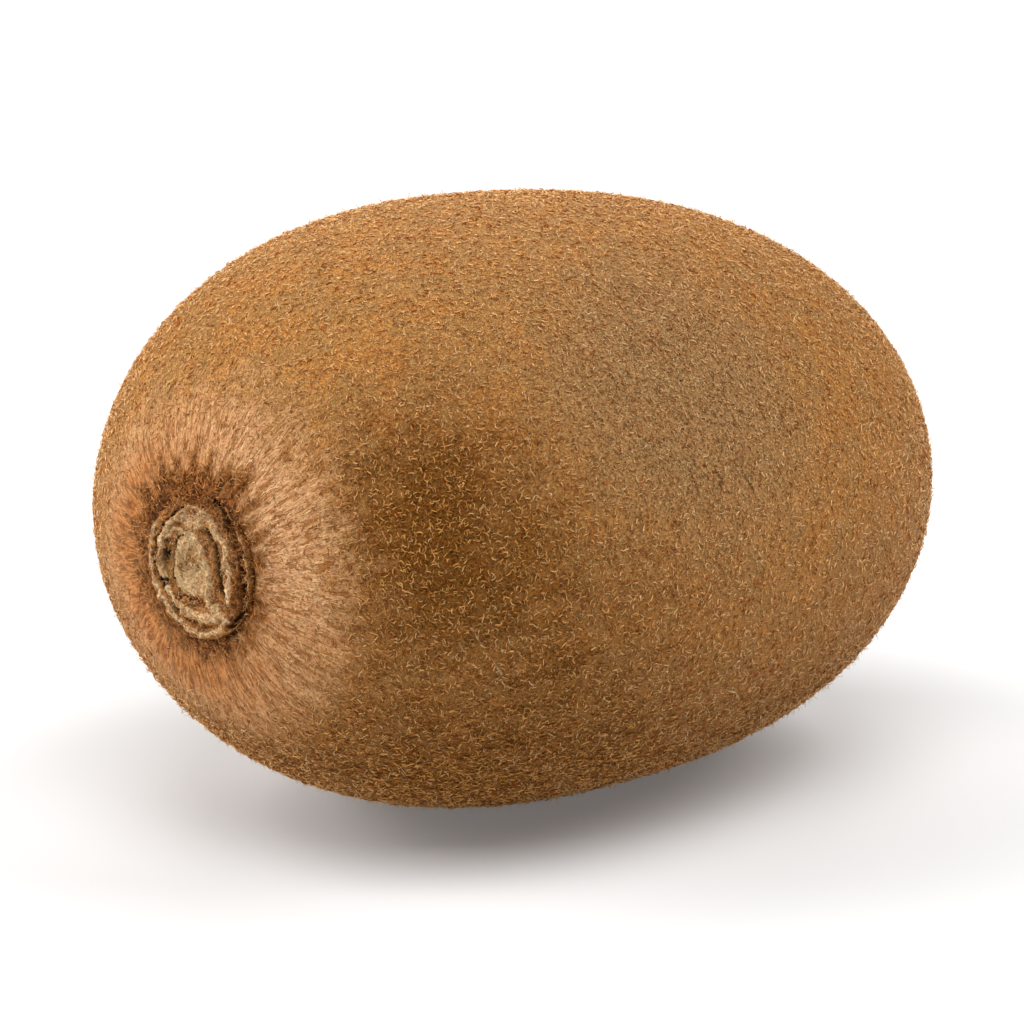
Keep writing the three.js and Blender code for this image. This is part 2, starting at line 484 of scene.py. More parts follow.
# Ridges and grooves that run over the rings, each with its rise, its half width, how
# strongly its colour shows, and the places it passes, as right and up from the middle.
SCAR_LINES = {
    "pale": [
        # outer lip
        (0.20, 0.17, 0.9, [(-2.8, 4.5), (-3.8, 3.5), (-4.4, 2.35), (-4.75, 1.35), (-5.0, 0.45)]),
        (0.20, 0.17, 1.0, [(-5.0, 0.45), (-4.9, -0.2), (-4.7, -1.0), (-4.2, -1.9), (-3.5, -2.7)]),
        (0.20, 0.18, 1.0, [(-3.5, -2.7), (-2.7, -3.5), (-1.8, -4.1), (-0.9, -4.5), (0.2, -4.7)]),
        (0.15, 0.24, 0.7, [(0.2, -4.7), (1.2, -4.5), (2.1, -4.0), (2.6, -3.3)]),
        # main ridge
        (0.32, 0.20, 0.8, [(-3.9, 0.0), (-3.85, 0.8), (-3.7, 1.65), (-3.1, 2.35), (-2.3, 3.1)]),
        (0.32, 0.20, 0.9, [(-2.3, 3.1), (-1.5, 3.75), (-1.0, 4.1), (-0.2, 4.15), (0.65, 3.8)]),
        (0.36, 0.21, 1.0, [(0.65, 3.8), (1.4, 3.2), (2.1, 2.45), (2.5, 1.75), (2.8, 0.9)]),
        (0.36, 0.21, 1.0, [(2.8, 0.9), (2.95, 0.0), (3.0, -1.0), (3.0, -1.8)]),
        (0.30, 0.20, 0.9, [(-3.9, 0.0), (-3.7, -0.85), (-2.9, -2.1), (-2.2, -2.8), (-1.3, -3.3)]),
        (0.28, 0.28, 0.9, [(-1.3, -3.3), (-0.4, -3.4), (0.6, -3.45), (1.5, -3.4), (2.2, -3.0)]),
        # rim outside the crevice
        (0.25, 0.13, 0.4, [(2.7, 4.1), (3.6, 3.3), (4.2, 2.3), (4.6, 1.1), (4.75, 0.1)]),
        (0.25, 0.13, 0.4, [(4.75, 0.1), (4.8, -0.9), (4.6, -1.8)]),
        # rim of the plug; its bright right side is partly a painted highlight
        (0.18, 0.15, 0.5, [(-3.6, 1.5), (-2.8, 2.05), (-1.85, 2.35), (-1.0, 2.3)]),
        (0.30, 0.22, 1.0, [(-1.0, 2.3), (-0.2, 1.8), (0.4, 1.1), (0.8, 0.25), (1.0, -0.6)]),
        (0.28, 0.24, 1.0, [(1.0, -0.6), (1.0, -1.4), (0.7, -2.0), (1.0, -2.5)]),
    ],
    "rusty": [
        (0.12, 0.20, 1.0, [(-3.0, -1.2), (-2.4, -2.1), (-1.7, -2.65), (-0.9, -2.75), (0.0, -2.4)]),
        # hairy band outside the main ridge
        (0.10, 0.36, 0.6, [(-2.2, 4.7), (-0.5, 4.9), (1.0, 4.5), (2.2, 3.7)]),
        (0.12, 0.50, 1.0, [(2.2, 3.7), (3.0, 2.8), (3.5, 1.5), (3.7, 0.0), (3.7, -1.8)]),
    ],
    # Grooves, the crevice, the moat and the plug's edge, painted dark: painted shade in these
    # recesses, partly dark wood
    "dark_and_shaded": [
        # groove inside the outer lip
        (-0.16, 0.11, 0.9, [(-1.5, 4.1), (-2.4, 3.65), (-3.1, 2.85), (-3.8, 2.15), (-4.3, 1.3)]),
        (-0.16, 0.11, 0.9, [(-4.3, 1.3), (-4.5, 0.5), (-4.55, -0.2), (-4.2, -0.9), (-3.7, -1.6)]),
        (-0.16, 0.11, 0.9, [(-3.7, -1.6), (-3.2, -2.3), (-2.5, -3.0), (-1.9, -3.45), (-1.0, -3.9)]),
        (-0.08, 0.09, 0.5, [(-1.0, -3.9), (0.2, -4.1), (1.3, -4.0)]),
        # crevice on the right
        (-0.45, 0.32, 1.0, [(1.3, 4.9), (2.3, 4.1), (3.0, 3.35), (3.4, 2.7), (3.7, 1.8)]),
        (-0.45, 0.32, 1.0, [(3.7, 1.8), (4.0, 1.0), (4.25, 0.2), (4.35, -0.6), (4.3, -1.5)]),
        (-0.45, 0.32, 1.0, [(4.3, -1.5), (4.2, -2.3), (3.5, -3.0), (3.0, -3.7)]),
        # moat between the plug and the main ridge
        (-0.28, 0.32, 0.8, [(0.6, 2.7), (1.15, 2.0), (1.4, 1.1), (1.65, 0.0), (1.9, -0.9)]),
        (-0.28, 0.30, 0.85, [(1.9, -0.9), (2.2, -1.6)]),
        # shadow round the plug
        (-0.08, 0.10, 0.8, [(-1.6, 2.05), (-2.3, 1.6), (-2.55, 0.9), (-2.7, 0.2)]),
        (-0.12, 0.14, 0.9, [(-2.7, 0.2), (-2.75, -0.5), (-2.55, -1.2)]),
        (-0.08, 0.10, 0.5, [(-2.55, -1.2), (-1.9, -2.1), (-1.0, -2.45), (0.0, -2.15)]),
    ],
}
# Spots, each with its rise, half width, half height, strength, and place.
SCAR_SPOTS = {
    # Pits painted dark: painted shade in them, partly dark wood
    "dark_and_shaded": [
        (-0.20, 0.28, 0.40, 0.9, (-3.4, 0.4)),
        (-0.10, 0.18, 0.18, 0.7, (-3.4, 1.3)),
        (-0.25, 0.26, 0.26, 1.0, (-3.25, -1.55)),
        (-0.30, 0.28, 0.30, 1.0, (2.85, -2.3)),
        (-0.30, 0.50, 0.35, 1.0, (3.3, -3.2)),
        (-0.12, 0.13, 0.18, 0.8, (0.05, 0.6)),
        (-0.20, 0.22, 0.22, 0.7, (3.1, 2.0)),
        (-0.20, 0.22, 0.25, 0.7, (3.4, 0.6)),
        (-0.20, 0.22, 0.22, 0.7, (3.6, -0.6)),
        (-0.20, 0.25, 0.22, 0.7, (2.6, 3.1)),
        (-0.15, 0.20, 0.20, 0.6, (1.5, 4.0)),
        (-0.15, 0.26, 0.14, 0.6, (-0.3, -3.6)),
    ],
    "pale": [
        (0.06, 1.40, 0.50, 0.7, (-0.9, 3.15)),  # filled moat above the plug
        (0.16, 0.60, 0.40, 0.8, (1.5, -2.7)),
        (0.05, 0.20, 0.80, 0.7, (2.2, 0.7)),
        (-0.08, 0.80, 0.90, 0.9, (-0.5, -1.1)),
        (0.05, 0.40, 0.35, 0.8, (-0.4, 0.6)),
        (0.00, 0.70, 0.50, 0.7, (-1.5, 1.5)),
    ],
    "olive": [
        (-0.22, 0.55, 1.60, 1.0, (-3.25, 0.1)),
        (-0.08, 0.50, 0.30, 0.9, (-1.0, 1.1)),
        (-0.12, 0.55, 0.50, 1.0, (-1.7, 0.0)),
        (-0.08, 0.22, 0.30, 0.9, (-0.4, 0.2)),
    ],
    "rusty": [
        (0.00, 0.50, 0.60, 0.7, (3.3, 2.6)),
    ],
}

BEAK_SEGMENTS = 36
# The same for the dried beak at the other end, seen from there
BEAK_RINGS = [
    (4.60, 4.60, 0.0, 0.0, -0.9),
    (4.10, 4.10, 0.0, 0.0, -0.25),
    (3.60, 3.60, 0.0, 0.0, 0.05),
    (3.00, 3.00, 0.0, 0.0, 0.5),
    (2.70, 2.70, 0.0, 0.0, 0.8),
    (2.40, 2.40, 0.0, 0.0, 0.86),
    (1.90, 1.90, 0.0, 0.0, 0.6),
    (1.20, 1.20, 0.0, 0.0, 0.5),
    (0.50, 0.50, 0.0, 0.0, 0.5),
]


def ringed_piece(name, segments, rings, levels):
    """A closed cap whose rings are extruded one from another, inwards to its middle."""
    deselect()
    width, height, right, up, rise = rings[0]
    bpy.ops.mesh.primitive_circle_add(vertices=segments, radius=1, fill_type="NGON")
    piece = bpy.context.object
    piece.name = name
    bpy.ops.object.mode_set(mode="EDIT")
    bpy.ops.transform.resize(value=(width, height, 1))
    bpy.ops.transform.translate(value=(right, up, rise))
    for ring in rings[1:]:
        bpy.ops.mesh.extrude_region_move()
        centre = (right, up, rise)
        grown = (ring[0] / width, ring[1] / height, 1)
        bpy.ops.transform.resize(value=grown, center_override=centre)
        bpy.ops.transform.translate(value=tuple(np.subtract(ring[2:], centre)))
        width, height, right, up, rise = ring
    bpy.ops.mesh.merge(type="CENTER")
    bpy.ops.mesh.select_all(action="DESELECT")
    bpy.ops.mesh.select_non_manifold(extend=False)
    bpy.ops.mesh.edge_face_add()
    bpy.ops.mesh.select_all(action="SELECT")
    bpy.ops.mesh.normals_make_consistent(inside=False)
    bpy.ops.object.mode_set(mode="OBJECT")
    put_in_order(piece)
    ring_number = np.minimum(np.arange(len(piece.data.vertices)) // segments, len(rings) - 1)
    add_attribute(piece.data, "inward", ring_number / (len(rings) - 1))
    make_finer(piece, levels)
    bpy.ops.object.shade_smooth()
    return piece


# How closely a woody end's unevenness repeats, in waves a millimetre
WIDE_WAVES = 0.6
NARROW_WAVES = 1.8
FINE_WAVES = 5.0
PIT_WAVES = 2.2


def crumbled(places, wander, depth, grain):
    """Places on a woody end, wandering sideways and pitted, in millimetres."""
    moved = places.copy()
    for i, place in enumerate(places):
        spot = Vector(place)
        wide = noise.noise_vector(spot * WIDE_WAVES)
        narrow = noise.noise_vector(spot * NARROW_WAVES + Vector((7, 3, 0)))
        fine = noise.noise_vector(spot * FINE_WAVES + Vector((1, 9, 4)))
        pits = noise.turbulence(
            spot * PIT_WAVES, 5, True, amplitude_scale=0.7, frequency_scale=2.1
        )
        moved[i, :2] += wander * (np.array(wide.xy) + 0.6 * np.array(narrow.xy))
        moved[i, :2] += 0.2 * wander * np.array(fine.xy)
        moved[i, 2] += depth * (wide.z + 0.8 * narrow.z + 0.4 * fine.z) - grain * (pits - 0.5)
    return moved


def line_share(places, half_width, line):
    """1 on a line through points, falling smoothly to 0 beside it."""
    nearest = np.full(len(places), np.inf)
    for start, end in zip(np.array(line[:-1]), np.array(line[1:])):
        along = end - start
        share = ((places[:, :2] - start) @ along / (along @ along)).clip(0, 1)
        gap = places[:, :2] - start - share[:, None] * along
        nearest = np.minimum(nearest, np.hypot(gap[:, 0], gap[:, 1]))
    return np.exp(-((nearest / half_width) ** 2))


def spot_share(places, half_width, half_height, middle):
    gap = (places[:, :2] - middle) / (half_width, half_height)
    return np.exp(-(gap**2).sum(axis=1))


PLUG_MIDDLE = (-0.95, 0.05)  # the pale plug inside the scar's ridges
PLUG_SIZE = (1.9, 2.3)  # its half width and half height
PLUG_FADE = (0.85, 1.05)
SCAR_SUNK = (-1.9, -0.6)  # the rises between which the rim passes into the uneven scar


def make_stem_scar():
    piece = ringed_piece("stem_scar", SCAR_SEGMENTS, SCAR_RINGS, 2)
    places = vertex_places(piece.data)
    sunk = 1 - ease(places[:, 2], *SCAR_SUNK)[:, None]
    shaped = places.copy()
    strayed = places + 0.25 * np.column_stack([rough(places, 1.1, i) for i in range(3)])
    strayed += 0.12 * np.column_stack([rough(places, 0.35, i + 3) for i in range(3)])
    for name, spots in SCAR_SPOTS.items():
        marks = []
        for rise, half_width, half_height, strength, middle in spots:
            share = spot_share(strayed, half_width, half_height, middle)
            marks.append((rise, strength, share))
        for rise, half_width, strength, line in SCAR_LINES.get(name, ()):
            marks.append((rise, strength, line_share(strayed, half_width, line)))
        for rise, strength, share in marks:
            shaped[:, 2] += rise * share
        shown = [strength * share for rise, strength, share in marks]
        add_attribute(piece.data, name, np.max(shown, axis=0))
    from_plug = np.linalg.norm((strayed[:, :2] - PLUG_MIDDLE) / PLUG_SIZE, axis=1)
    add_attribute(piece.data, "plug", 1 - ease(from_plug, *PLUG_FADE))
    moved = crumbled(shaped, wander=0.14, depth=0.1, grain=0.2)
    moved = moved * (1 - sunk) + places * sunk
    set_vertex_places(piece.data, STEM_END.to_frame(moved))
    return piece


def make_beak():
    piece = ringed_piece("blossom_end", BEAK_SEGMENTS, BEAK_RINGS, 2)
    places = crumbled(vertex_places(piece.data), wander=0.3, depth=0.12, grain=0.12)
    set_vertex_places(piece.data, BLOSSOM_END.to_frame(places))
    return piece


# -------- hairs
HAIR_SEED = 7
# Each kind of hair: how many, how often one bends, its length and thickness, and how much
# more thickly it grows where each look applies.
HAIR_KINDS = (
    (64000, 1, 0.44, 0.1, {"matted": 0.8, "combed": -0.5, "dusky_and_shaded": 0.2, "sparse_and_sheen": 0.6}),
    (39500, 2, 0.66, 0.11, {"matted": 1.8, "combed": -0.8, "dusky_and_shaded": 2.0, "sparse_and_sheen": -0.4}),
)
STRAY_HAIRS = 0.2  # the share that stands up out of the coat
# The coat's pieces, from the stem end to the blossom end
HAIR_PIECES = (
    "stem_end_hairs",
    "shoulder_hairs",
    "middle_hairs",
    "flank_hairs",
    "blossom_end_hairs",
)
ROOT_DEPTH = 0.02
FLOOR_GAP = 0.02  # no strand comes closer to the surface that the fruit rests on
CELL_MARGIN = 0.05  # round each strand's cell of the map, as a share of the cell


def triangles_of(piece):
    """Corner places, corner normals and areas of a piece's triangles, in metres."""
    mesh = piece.data
    mesh.calc_loop_triangles()
    corners = np.empty(len(mesh.loop_triangles) * 3, int)
    mesh.loop_triangles.foreach_get("vertices", corners)
    corners = corners.reshape(-1, 3)
    places = vertex_places(mesh)[corners]
    normals = np.empty(len(mesh.vertices) * 3)
    mesh.vertex_normals.foreach_get("vector", normals)
    normals = normals.reshape(-1, 3)[corners]
    crossed = np.cross(places[:, 1] - places[:, 0], places[:, 2] - places[:, 0])
    return places, normals, np.linalg.norm(crossed, axis=1) / 2


class Roots:
    """Where hairs grow, which way is out there, and which way is away from the stem."""

    def __init__(self, piece, count, density, random):
        places, normals, areas = triangles_of(piece)
        weights = np.cumsum(areas * density(in_mm(places.mean(axis=1))))
        steps = (np.arange(count) + random.random(count)) / count
        chosen = np.searchsorted(weights / weights[-1], steps).clip(0, len(areas) - 1)
        share = random.random((count, 2))
        folded = share.sum(axis=1) > 1
        share[folded] = 1 - share[folded]
        share = np.column_stack([1 - share.sum(axis=1), share])[:, :, None]
        self.place = (places[chosen] * share).sum(axis=1)
        self.out = unit((normals[chosen] * share).sum(axis=1))
        self.at = in_mm(self.place)
        self.looks = looks(self.at)
        stemward = np.array(STEMWARD)
        self.away = unit((self.out @ stemward)[:, None] * self.out - stemward)
        self.across = np.cross(self.out, self.away)


def hair_density(at, thicker):
    """How thickly hairs grow at places in millimetres from MIDDLE, 1 in the ordinary coat."""
    radius = np.hypot(at[:, 0], at[:, 1])
    seat = STEM_SEAT + 0.2 * (at[:, 0] / radius).clip(0, 1)
    clear = np.where(at[:, 2] > 0, ease(radius - seat, 0.0, 0.3), ease(radius, 3.2, 3.6))
    height = (at @ np.array([RIGHTWARD, UPWARD, STEMWARD]))[:, 2] + MIDDLE.z
    under = 0.3 + 0.7 * ease(height, 0.5, 2.5)
    look = looks(at)
    clumping = 0.3 + 1.3 * look["matted"] + 1.2 * look["combed"] + 0.3 * look["dusky_and_shaded"]
    tufted = (1 + clumping * rough(at, 0.7, 3)).clip(0.1)
    return clear * under * tufted * (1 + sum(look[key] * more for key, more in thicker.items()))


class Strands:
    """Curved, tapering strands with pointed ends, as arrays with one row a strand."""

    def __init__(self, roots, shape, bends, sides=3):
        """shape gives, for each strand, its lean from the way away from the stem, the lift
        of its root off the skin, the droop and curl over its length in radians, and its
        length and thickness in millimetres."""
        self.bends = bends
        self.sides = sides
        step = (shape["length"] * MM / (bends + 1))[:, None]
        point = roots.place - roots.out * (ROOT_DEPTH * MM)
        columns = [point]
        for j in range(bends + 1):
            middle = (j + 0.5) / (bends + 1)
            turn = shape["lean"] + shape["curl"] * middle
            rise = shape["lift"] - shape["droop"] * middle
            flat = np.cos(turn)[:, None] * roots.away + np.sin(turn)[:, None] * roots.across
            ahead = np.cos(rise)[:, None] * flat + np.sin(rise)[:, None] * roots.out
            point = point + step * ahead
            if j < bends:
                taper = 1.1 - 0.4 * (j + 1) / (bends + 1)
                columns += self.ring(roots, point, ahead, shape["thickness"] * taper)
        columns.append(point)
        self.vertices = np.stack(columns, axis=1)
        self.vertices[:, :, 2] = np.maximum(self.vertices[:, :, 2], FLOOR_GAP * MM)
        along = np.linspace(0, 1, bends + 2)
        inner = np.repeat(along[1:-1], sides)
        self.along = np.array([0, *inner, 1])
        self.faces, self.uv = self.faces_and_uv()

    def ring(self, roots, middle, ahead, thickness):
        """The corners of each strand's cross-section at its middle point."""
        aside = unit(np.cross(ahead, roots.out) + 1e-6)
        above = np.cross(aside, ahead)
        radius = (thickness * MM / 2)[:, None]
        angles = [2 * pi * k / self.sides + pi / 2 for k in range(self.sides)]
        return [middle + radius * (cos(angle) * aside + sin(angle) * above) for angle in angles]

    def faces_and_uv(self):
        """The faces of one strand, and each face corner's place in its cell of the map."""
        bends, sides = self.bends, self.sides
        faces, uv = [], []
        rows = np.linspace(CELL_MARGIN, 1 - CELL_MARGIN, bends + 2)
        columns = np.linspace(CELL_MARGIN, 1 - CELL_MARGIN, sides + 1)
        tip = 1 + bends * sides
        for k in range(sides):
            left, right = columns[k], columns[k + 1]
            middle = (left + right) / 2
            after = (k + 1) % sides
            faces.append((0, 1 + after, 1 + k))
            uv.append([(middle, rows[0]), (right, rows[1]), (left, rows[1])])
            for j in range(bends - 1):
                low, high = 1 + j * sides, 1 + (j + 1) * sides
                faces.append((low + k, low + after, high + after))
                faces.append((low + k, high + after, high + k))
                uv.append([(left, rows[j + 1]), (right, rows[j + 1]), (right, rows[j + 2])])
                uv.append([(left, rows[j + 1]), (right, rows[j + 2]), (left, rows[j + 2])])
            last = tip - sides
            faces.append((last + k, last + after, tip))
            uv.append([(left, rows[-2]), (right, rows[-2]), (middle, rows[-1])])
        return np.array(faces), np.array(uv)


def strand_piece(name, bunches, attributes):
    """One object from bunches of (strands, rows), with each row's attributes and a map in
    which every strand has a cell of its own."""
    vertices, faces, uv = [], [], []
    values = {key: [] for key in ("along", *attributes[0])}
    cells = int(np.ceil(np.sqrt(sum(len(rows) for _, rows in bunches))))
    placed = 0
    used = 0
    for (strands, rows), given in zip(bunches, attributes):
        size = strands.vertices.shape[1]
        vertices.append(strands.vertices[rows].reshape(-1, 3))
        first = used + size * np.arange(len(rows))
        faces.append((strands.faces[None] + first[:, None, None]).reshape(-1, 3))
        number = placed + np.arange(len(rows))
        cell = np.stack([number % cells, number // cells], axis=1)[:, None, None]
        uv.append(((strands.uv[None] + cell) / cells).reshape(-1, 2))
        values["along"].append(np.tile(strands.along, len(rows)))
        for key in given:
            values[key].append(np.repeat(given[key][rows], size))
        placed += len(rows)
        used += size * len(rows)
    piece = mesh_piece(name, np.concatenate(vertices), np.concatenate(faces), np.concatenate(uv))
    for key, parts in values.items():
        add_attribute(piece.data, key, np.concatenate(parts))
    return piece


def mesh_piece(name, vertices, faces, uv):
    mesh = bpy.data.meshes.new(name)
    mesh.vertices.add(len(vertices))
    mesh.vertices.foreach_set("co", vertices.ravel())
    mesh.loops.add(faces.size)
    mesh.loops.foreach_set("vertex_index", faces.ravel())
    mesh.polygons.add(len(faces))
    mesh.polygons.foreach_set("loop_start", np.arange(0, faces.size, 3))
    mesh.polygons.foreach_set("use_smooth", np.ones(len(faces), bool))
    mesh.update(calc_edges=True)
    mesh.uv_layers.new(name="OFBake").uv.foreach_set("vector", uv.astype(np.float32).ravel())
    piece = bpy.data.objects.new(name, mesh)
    bpy.context.scene.collection.objects.link(piece)
    return piece


def hair_shapes(roots, random, bends, length, thickness):
    """The lie, curl, length and thickness of each hair."""
    count = len(roots.place)
    matted, combed, dusky_and_shaded = (roots.looks[look] for look in ("matted", "combed", "dusky_and_shaded"))
    free = 1 - 0.85 * combed - 0.45 * matted
    swirl = pi * rough(roots.at, 2.2, 4)
    lean = swirl * (1 - combed - matted) + random.normal(0, 1, count) * (0.2 + 1.8 * free)
    lift = radians(18) + radians(26) * random.random(count)
    lift += radians(14) * dusky_and_shaded * random.random(count) + radians(40) * matted * random.random(count)
    lift -= radians(12) * combed
    stray = random.random(count) < STRAY_HAIRS * (1 - 0.7 * dusky_and_shaded)
    lift[stray] = radians(35) + radians(50) * random.random(stray.sum())
    longer = 1 + 0.5 * combed + 0.1 * matted + 0.1 * dusky_and_shaded
    finer = 1 - 0.35 * combed - 0.15 * matted
    handed = np.where(random.random(count) < 0.5, -1, 1)
    return {
        "lean": lean,
        "lift": lift,
        "droop": lift * random.uniform(1.0, 2.0, count) * (1 - 0.6 * stray),
        "curl": handed * random.uniform(0.3, 1.0, count) * (0.6 + (1.9 + 0.8 * bends) * free),
        "length": length * longer * random.uniform(0.65, 1.3, count),
        "thickness": thickness * random.uniform(0.75, 1.15, count) * finer * (1 - 0.55 * stray),
        "stray": stray,
    }


FUZZ_SEED = 11
SCAR_FUZZ = 3000
SCAR_RIM = STEM_POLE - 1.4  # fuzz grows on the scar only above this
GROOVE_REACH = 2.0  # how many half widths of a groove fuzz keeps clear of it


def scar_density(at):
    """How thickly fuzz grows on the stem scar."""
    band = ease(np.hypot(at[:, 0] + 0.3, at[:, 1] - 0.15), 3.5, 4.3)
    hairy_side = 0.1 + 0.9 * ease(at[:, 0] + 0.8 * at[:, 1], -1.0, 3.0)
    shown = at[:, 2] > SCAR_RIM
    grooves = []
    for rise, half_width, strength, line in SCAR_LINES["dark_and_shaded"]:
        grooves.append(line_share(at, GROOVE_REACH * half_width, line))
    clear = 1 - np.max(grooves, axis=0)
    fuzz = 0.15 * (1 - band) + 0.8 * band * hairy_side
    return shown * clear * fuzz * (1 + rough(at, 0.6))


def grow_scar_fuzz(scar):
    """Fine pale fibres on the plug and the ridge, and brown hairs on the band round them."""
    random = np.random.default_rng(FUZZ_SEED)
    roots = Roots(scar, SCAR_FUZZ, scar_density, random)
    radius = np.hypot(roots.at[:, 0] + 0.5, roots.at[:, 1] - 0.3)
    outer = ease(radius + 0.5 * rough(roots.at, 0.8), 3.6, 4.2)
    rightward = ease(roots.at[:, 0] + 0.3 * roots.at[:, 1], -1.0, 2.5)
    shape = {
        "lean": random.uniform(-pi, pi, SCAR_FUZZ),
        "lift": radians(8) + radians(30) * (1 + outer) * random.random(SCAR_FUZZ),
        "droop": random.uniform(0.0, 0.9, SCAR_FUZZ),
        "curl": random.normal(0, 1.5, SCAR_FUZZ),
        "length": (0.4 + 0.1 * outer) * random.uniform(0.6, 1.4, SCAR_FUZZ),
        "thickness": random.uniform(0.03, 0.05, SCAR_FUZZ) + 0.03 * outer,
    }
    rows = np.arange(SCAR_FUZZ)
    nowhere = np.zeros(SCAR_FUZZ)
    given = {
        "shade": random.random(SCAR_FUZZ) * (0.4 + 0.3 * outer) + 0.6 * (1 - outer),
        # pale tips on the plug's fibres, in the colour of the stray hairs' painted glow
        "stray": 0.9 * (1 - outer),
        "matted": 0.9 * outer * rightward,
        "combed": 1 - 0.9 * outer * rightward,
        "dusky_and_shaded": nowhere,
        "sparse_and_sheen": nowhere,
        "rusty": 0.2 + 0.8 * outer,
    }
    return strand_piece("scar_fuzz", [(Strands(roots, shape, bends=1), rows)], [given])


def grow_hairs(skin):
    random = np.random.default_rng(HAIR_SEED)
    bunches = []
    for count, bends, length, thickness, thicker in HAIR_KINDS:
        roots = Roots(skin, count, lambda at: hair_density(at, thicker), random)
        shape = hair_shapes(roots, random, bends, length, thickness)
        tuft = np.clip(0.5 + 0.9 * rough(roots.at, 0.5, 6), 0, 1)
        tufty = 0.25 + 0.3 * roots.looks["combed"]
        shade = (1 - tufty) * random.random(count) + tufty * tuft
        given = {"shade": shade, "stray": shape["stray"], **roots.looks}
        order = np.argsort(-roots.at[:, 2])
        bands = np.array_split(order, len(HAIR_PIECES))
        bunches.append((Strands(roots, shape, bends), given, bands))
    for i, name in enumerate(HAIR_PIECES):
        parts = [(strands, bands[i]) for strands, given, bands in bunches]
        yield strand_piece(name, parts, [given for strands, given, bands in bunches])


# -------- dried styles
STYLE_COUNT = 34
STYLE_SPREAD = 2.4  # radius of the disc that they stand on
STYLE_LENGTH = 2.3


class StyleRoots:
    """Where the dried styles stand on the blossom end, in a sunflower's order."""

    def __init__(self, random):
        number = np.arange(STYLE_COUNT) + 0.5
        radius = STYLE_SPREAD * np.sqrt(number / STYLE_COUNT)
        around = number * pi * (3 - 5**0.5) + 0.3 * random.random(STYLE_COUNT)
        flat = np.column_stack([np.cos(around), np.sin(around), np.zeros(STYLE_COUNT)])
        places = flat * radius[:, None] + np.array([0, 0, 0.35])
        self.share = radius / STYLE_SPREAD
        self.place = BLOSSOM_END.to_frame(places)
        self.out = np.tile(BLOSSOM_END.axes[2], (STYLE_COUNT, 1))
        self.away = flat @ BLOSSOM_END.axes
        self.across = np.cross(self.out, self.away)


def make_styles():
    random = np.random.default_rng(HAIR_SEED + 1)
    roots = StyleRoots(random)
    shape = {
        "lean": random.normal(0, 0.35, STYLE_COUNT),
        "lift": radians(85) - radians(50) * roots.share + random.normal(0, 0.15, STYLE_COUNT),
        "droop": random.uniform(0.2, 0.9, STYLE_COUNT),
        "curl": random.normal(0, 0.8, STYLE_COUNT),
        "length": STYLE_LENGTH * random.uniform(0.7, 1.25, STYLE_COUNT),
        "thickness": random.uniform(0.3, 0.42, STYLE_COUNT),
    }
    strands = Strands(roots, shape, bends=5, sides=6)
    rows = np.arange(STYLE_COUNT)
    given = {"shade": 0.2 + 0.8 * random.random(STYLE_COUNT)}
    return strand_piece("dried_styles", [(strands, rows)], [given])


# -------- finishes
# Marks on the skin, each with its half width and the two ends it runs between, in
# millimetres of the row frame
# Fine creases on the flank, drawn only in colour: painted shade, partly brown streaks
CREASES = (
    (0.16, (23.4, -10.0, 29.2), (24.0, -9.7, 27.5)),
    (0.14, (23.7, -7.6, 28.6), (24.1, -7.1, 27.6)),
    (0.16, (24.0, -5.0, 28.0), (24.4, -4.2, 26.5)),
    (0.14, (22.3, -4.1, 31.7), (22.6, -4.1, 31.1)),
    (0.14, (23.8, 1.2, 27.7), (24.0, 0.7, 27.1)),
)
SCRATCHES = (
    (0.10, (18.5, -26.9, 20.3), (19.2, -24.6, 16.7)),
    (0.08, (17.9, -27.4, 19.2), (18.0, -27.1, 18.6)),
)
MARK_STRENGTH = 0.7

# Colours of the skin, by look. A pair runs from one to the other, in the order given.
PLAIN_SKIN = shades((202, 136, 64), (186, 134, 72))
# greyer skin under thinner hair, partly a painted sheen
SPARSE_SHEEN_SKIN = from_srgb(170, 136, 92)
# skin of the dusky look, darker partly as painted shade
DUSKY_SHADED_SKIN = from_srgb(124, 74, 12)
COMBED_SKIN = shades((146, 92, 48), (206, 154, 110))  # between streaks, on them
RUSTY_SKIN = shades((130, 68, 18), (190, 118, 54))
MATTED_SKIN = shades((80, 42, 14), (164, 98, 44))
# Dark pits between the hairs: painted shade, partly dark skin
PIT_SHADES = shades((78, 46, 12), (54, 30, 4))  # plain, dusky
COMBED_PIT_SHADE = from_srgb(120, 60, 14)
FLECKS = from_srgb(164, 84, 22)
LOWER_CURLS = shades((206, 144, 80), (140, 84, 22))  # plain, dusky
UPPER_CURLS = shades((226, 170, 106), (190, 128, 56))
HAIRLINES = from_srgb(236, 190, 136)
# painted shade in the creases, partly brown streaks
CREASE_SHADE_BROWN = from_srgb(92, 56, 22)
SCRATCH_CREAM = from_srgb(240, 200, 150)


def combed_streaks(finish, fineness, shift):
    """Noise drawn out into fine streaks that run away from the stem scar."""
    offset = finish.vector("SUBTRACT", finish.place(), tuple(MIDDLE))
    stemward = finish.measure("DOT_PRODUCT", offset, tuple(STEMWARD))
    along_axis = finish.vector("SCALE", tuple(STEMWARD), scale=stemward)
    flat = finish.vector("SUBTRACT", offset, along_axis)
    radius = finish.measure("LENGTH", flat)
    ray = finish.vector("SCALE", finish.vector("NORMALIZE", flat), scale=fineness)
    reach = finish.vector("SCALE", tuple(STEMWARD), scale=radius * 0.7 + shift)
    return finish.noise(finish.vector("ADD", ray, reach), 1.0, detail=2.0)


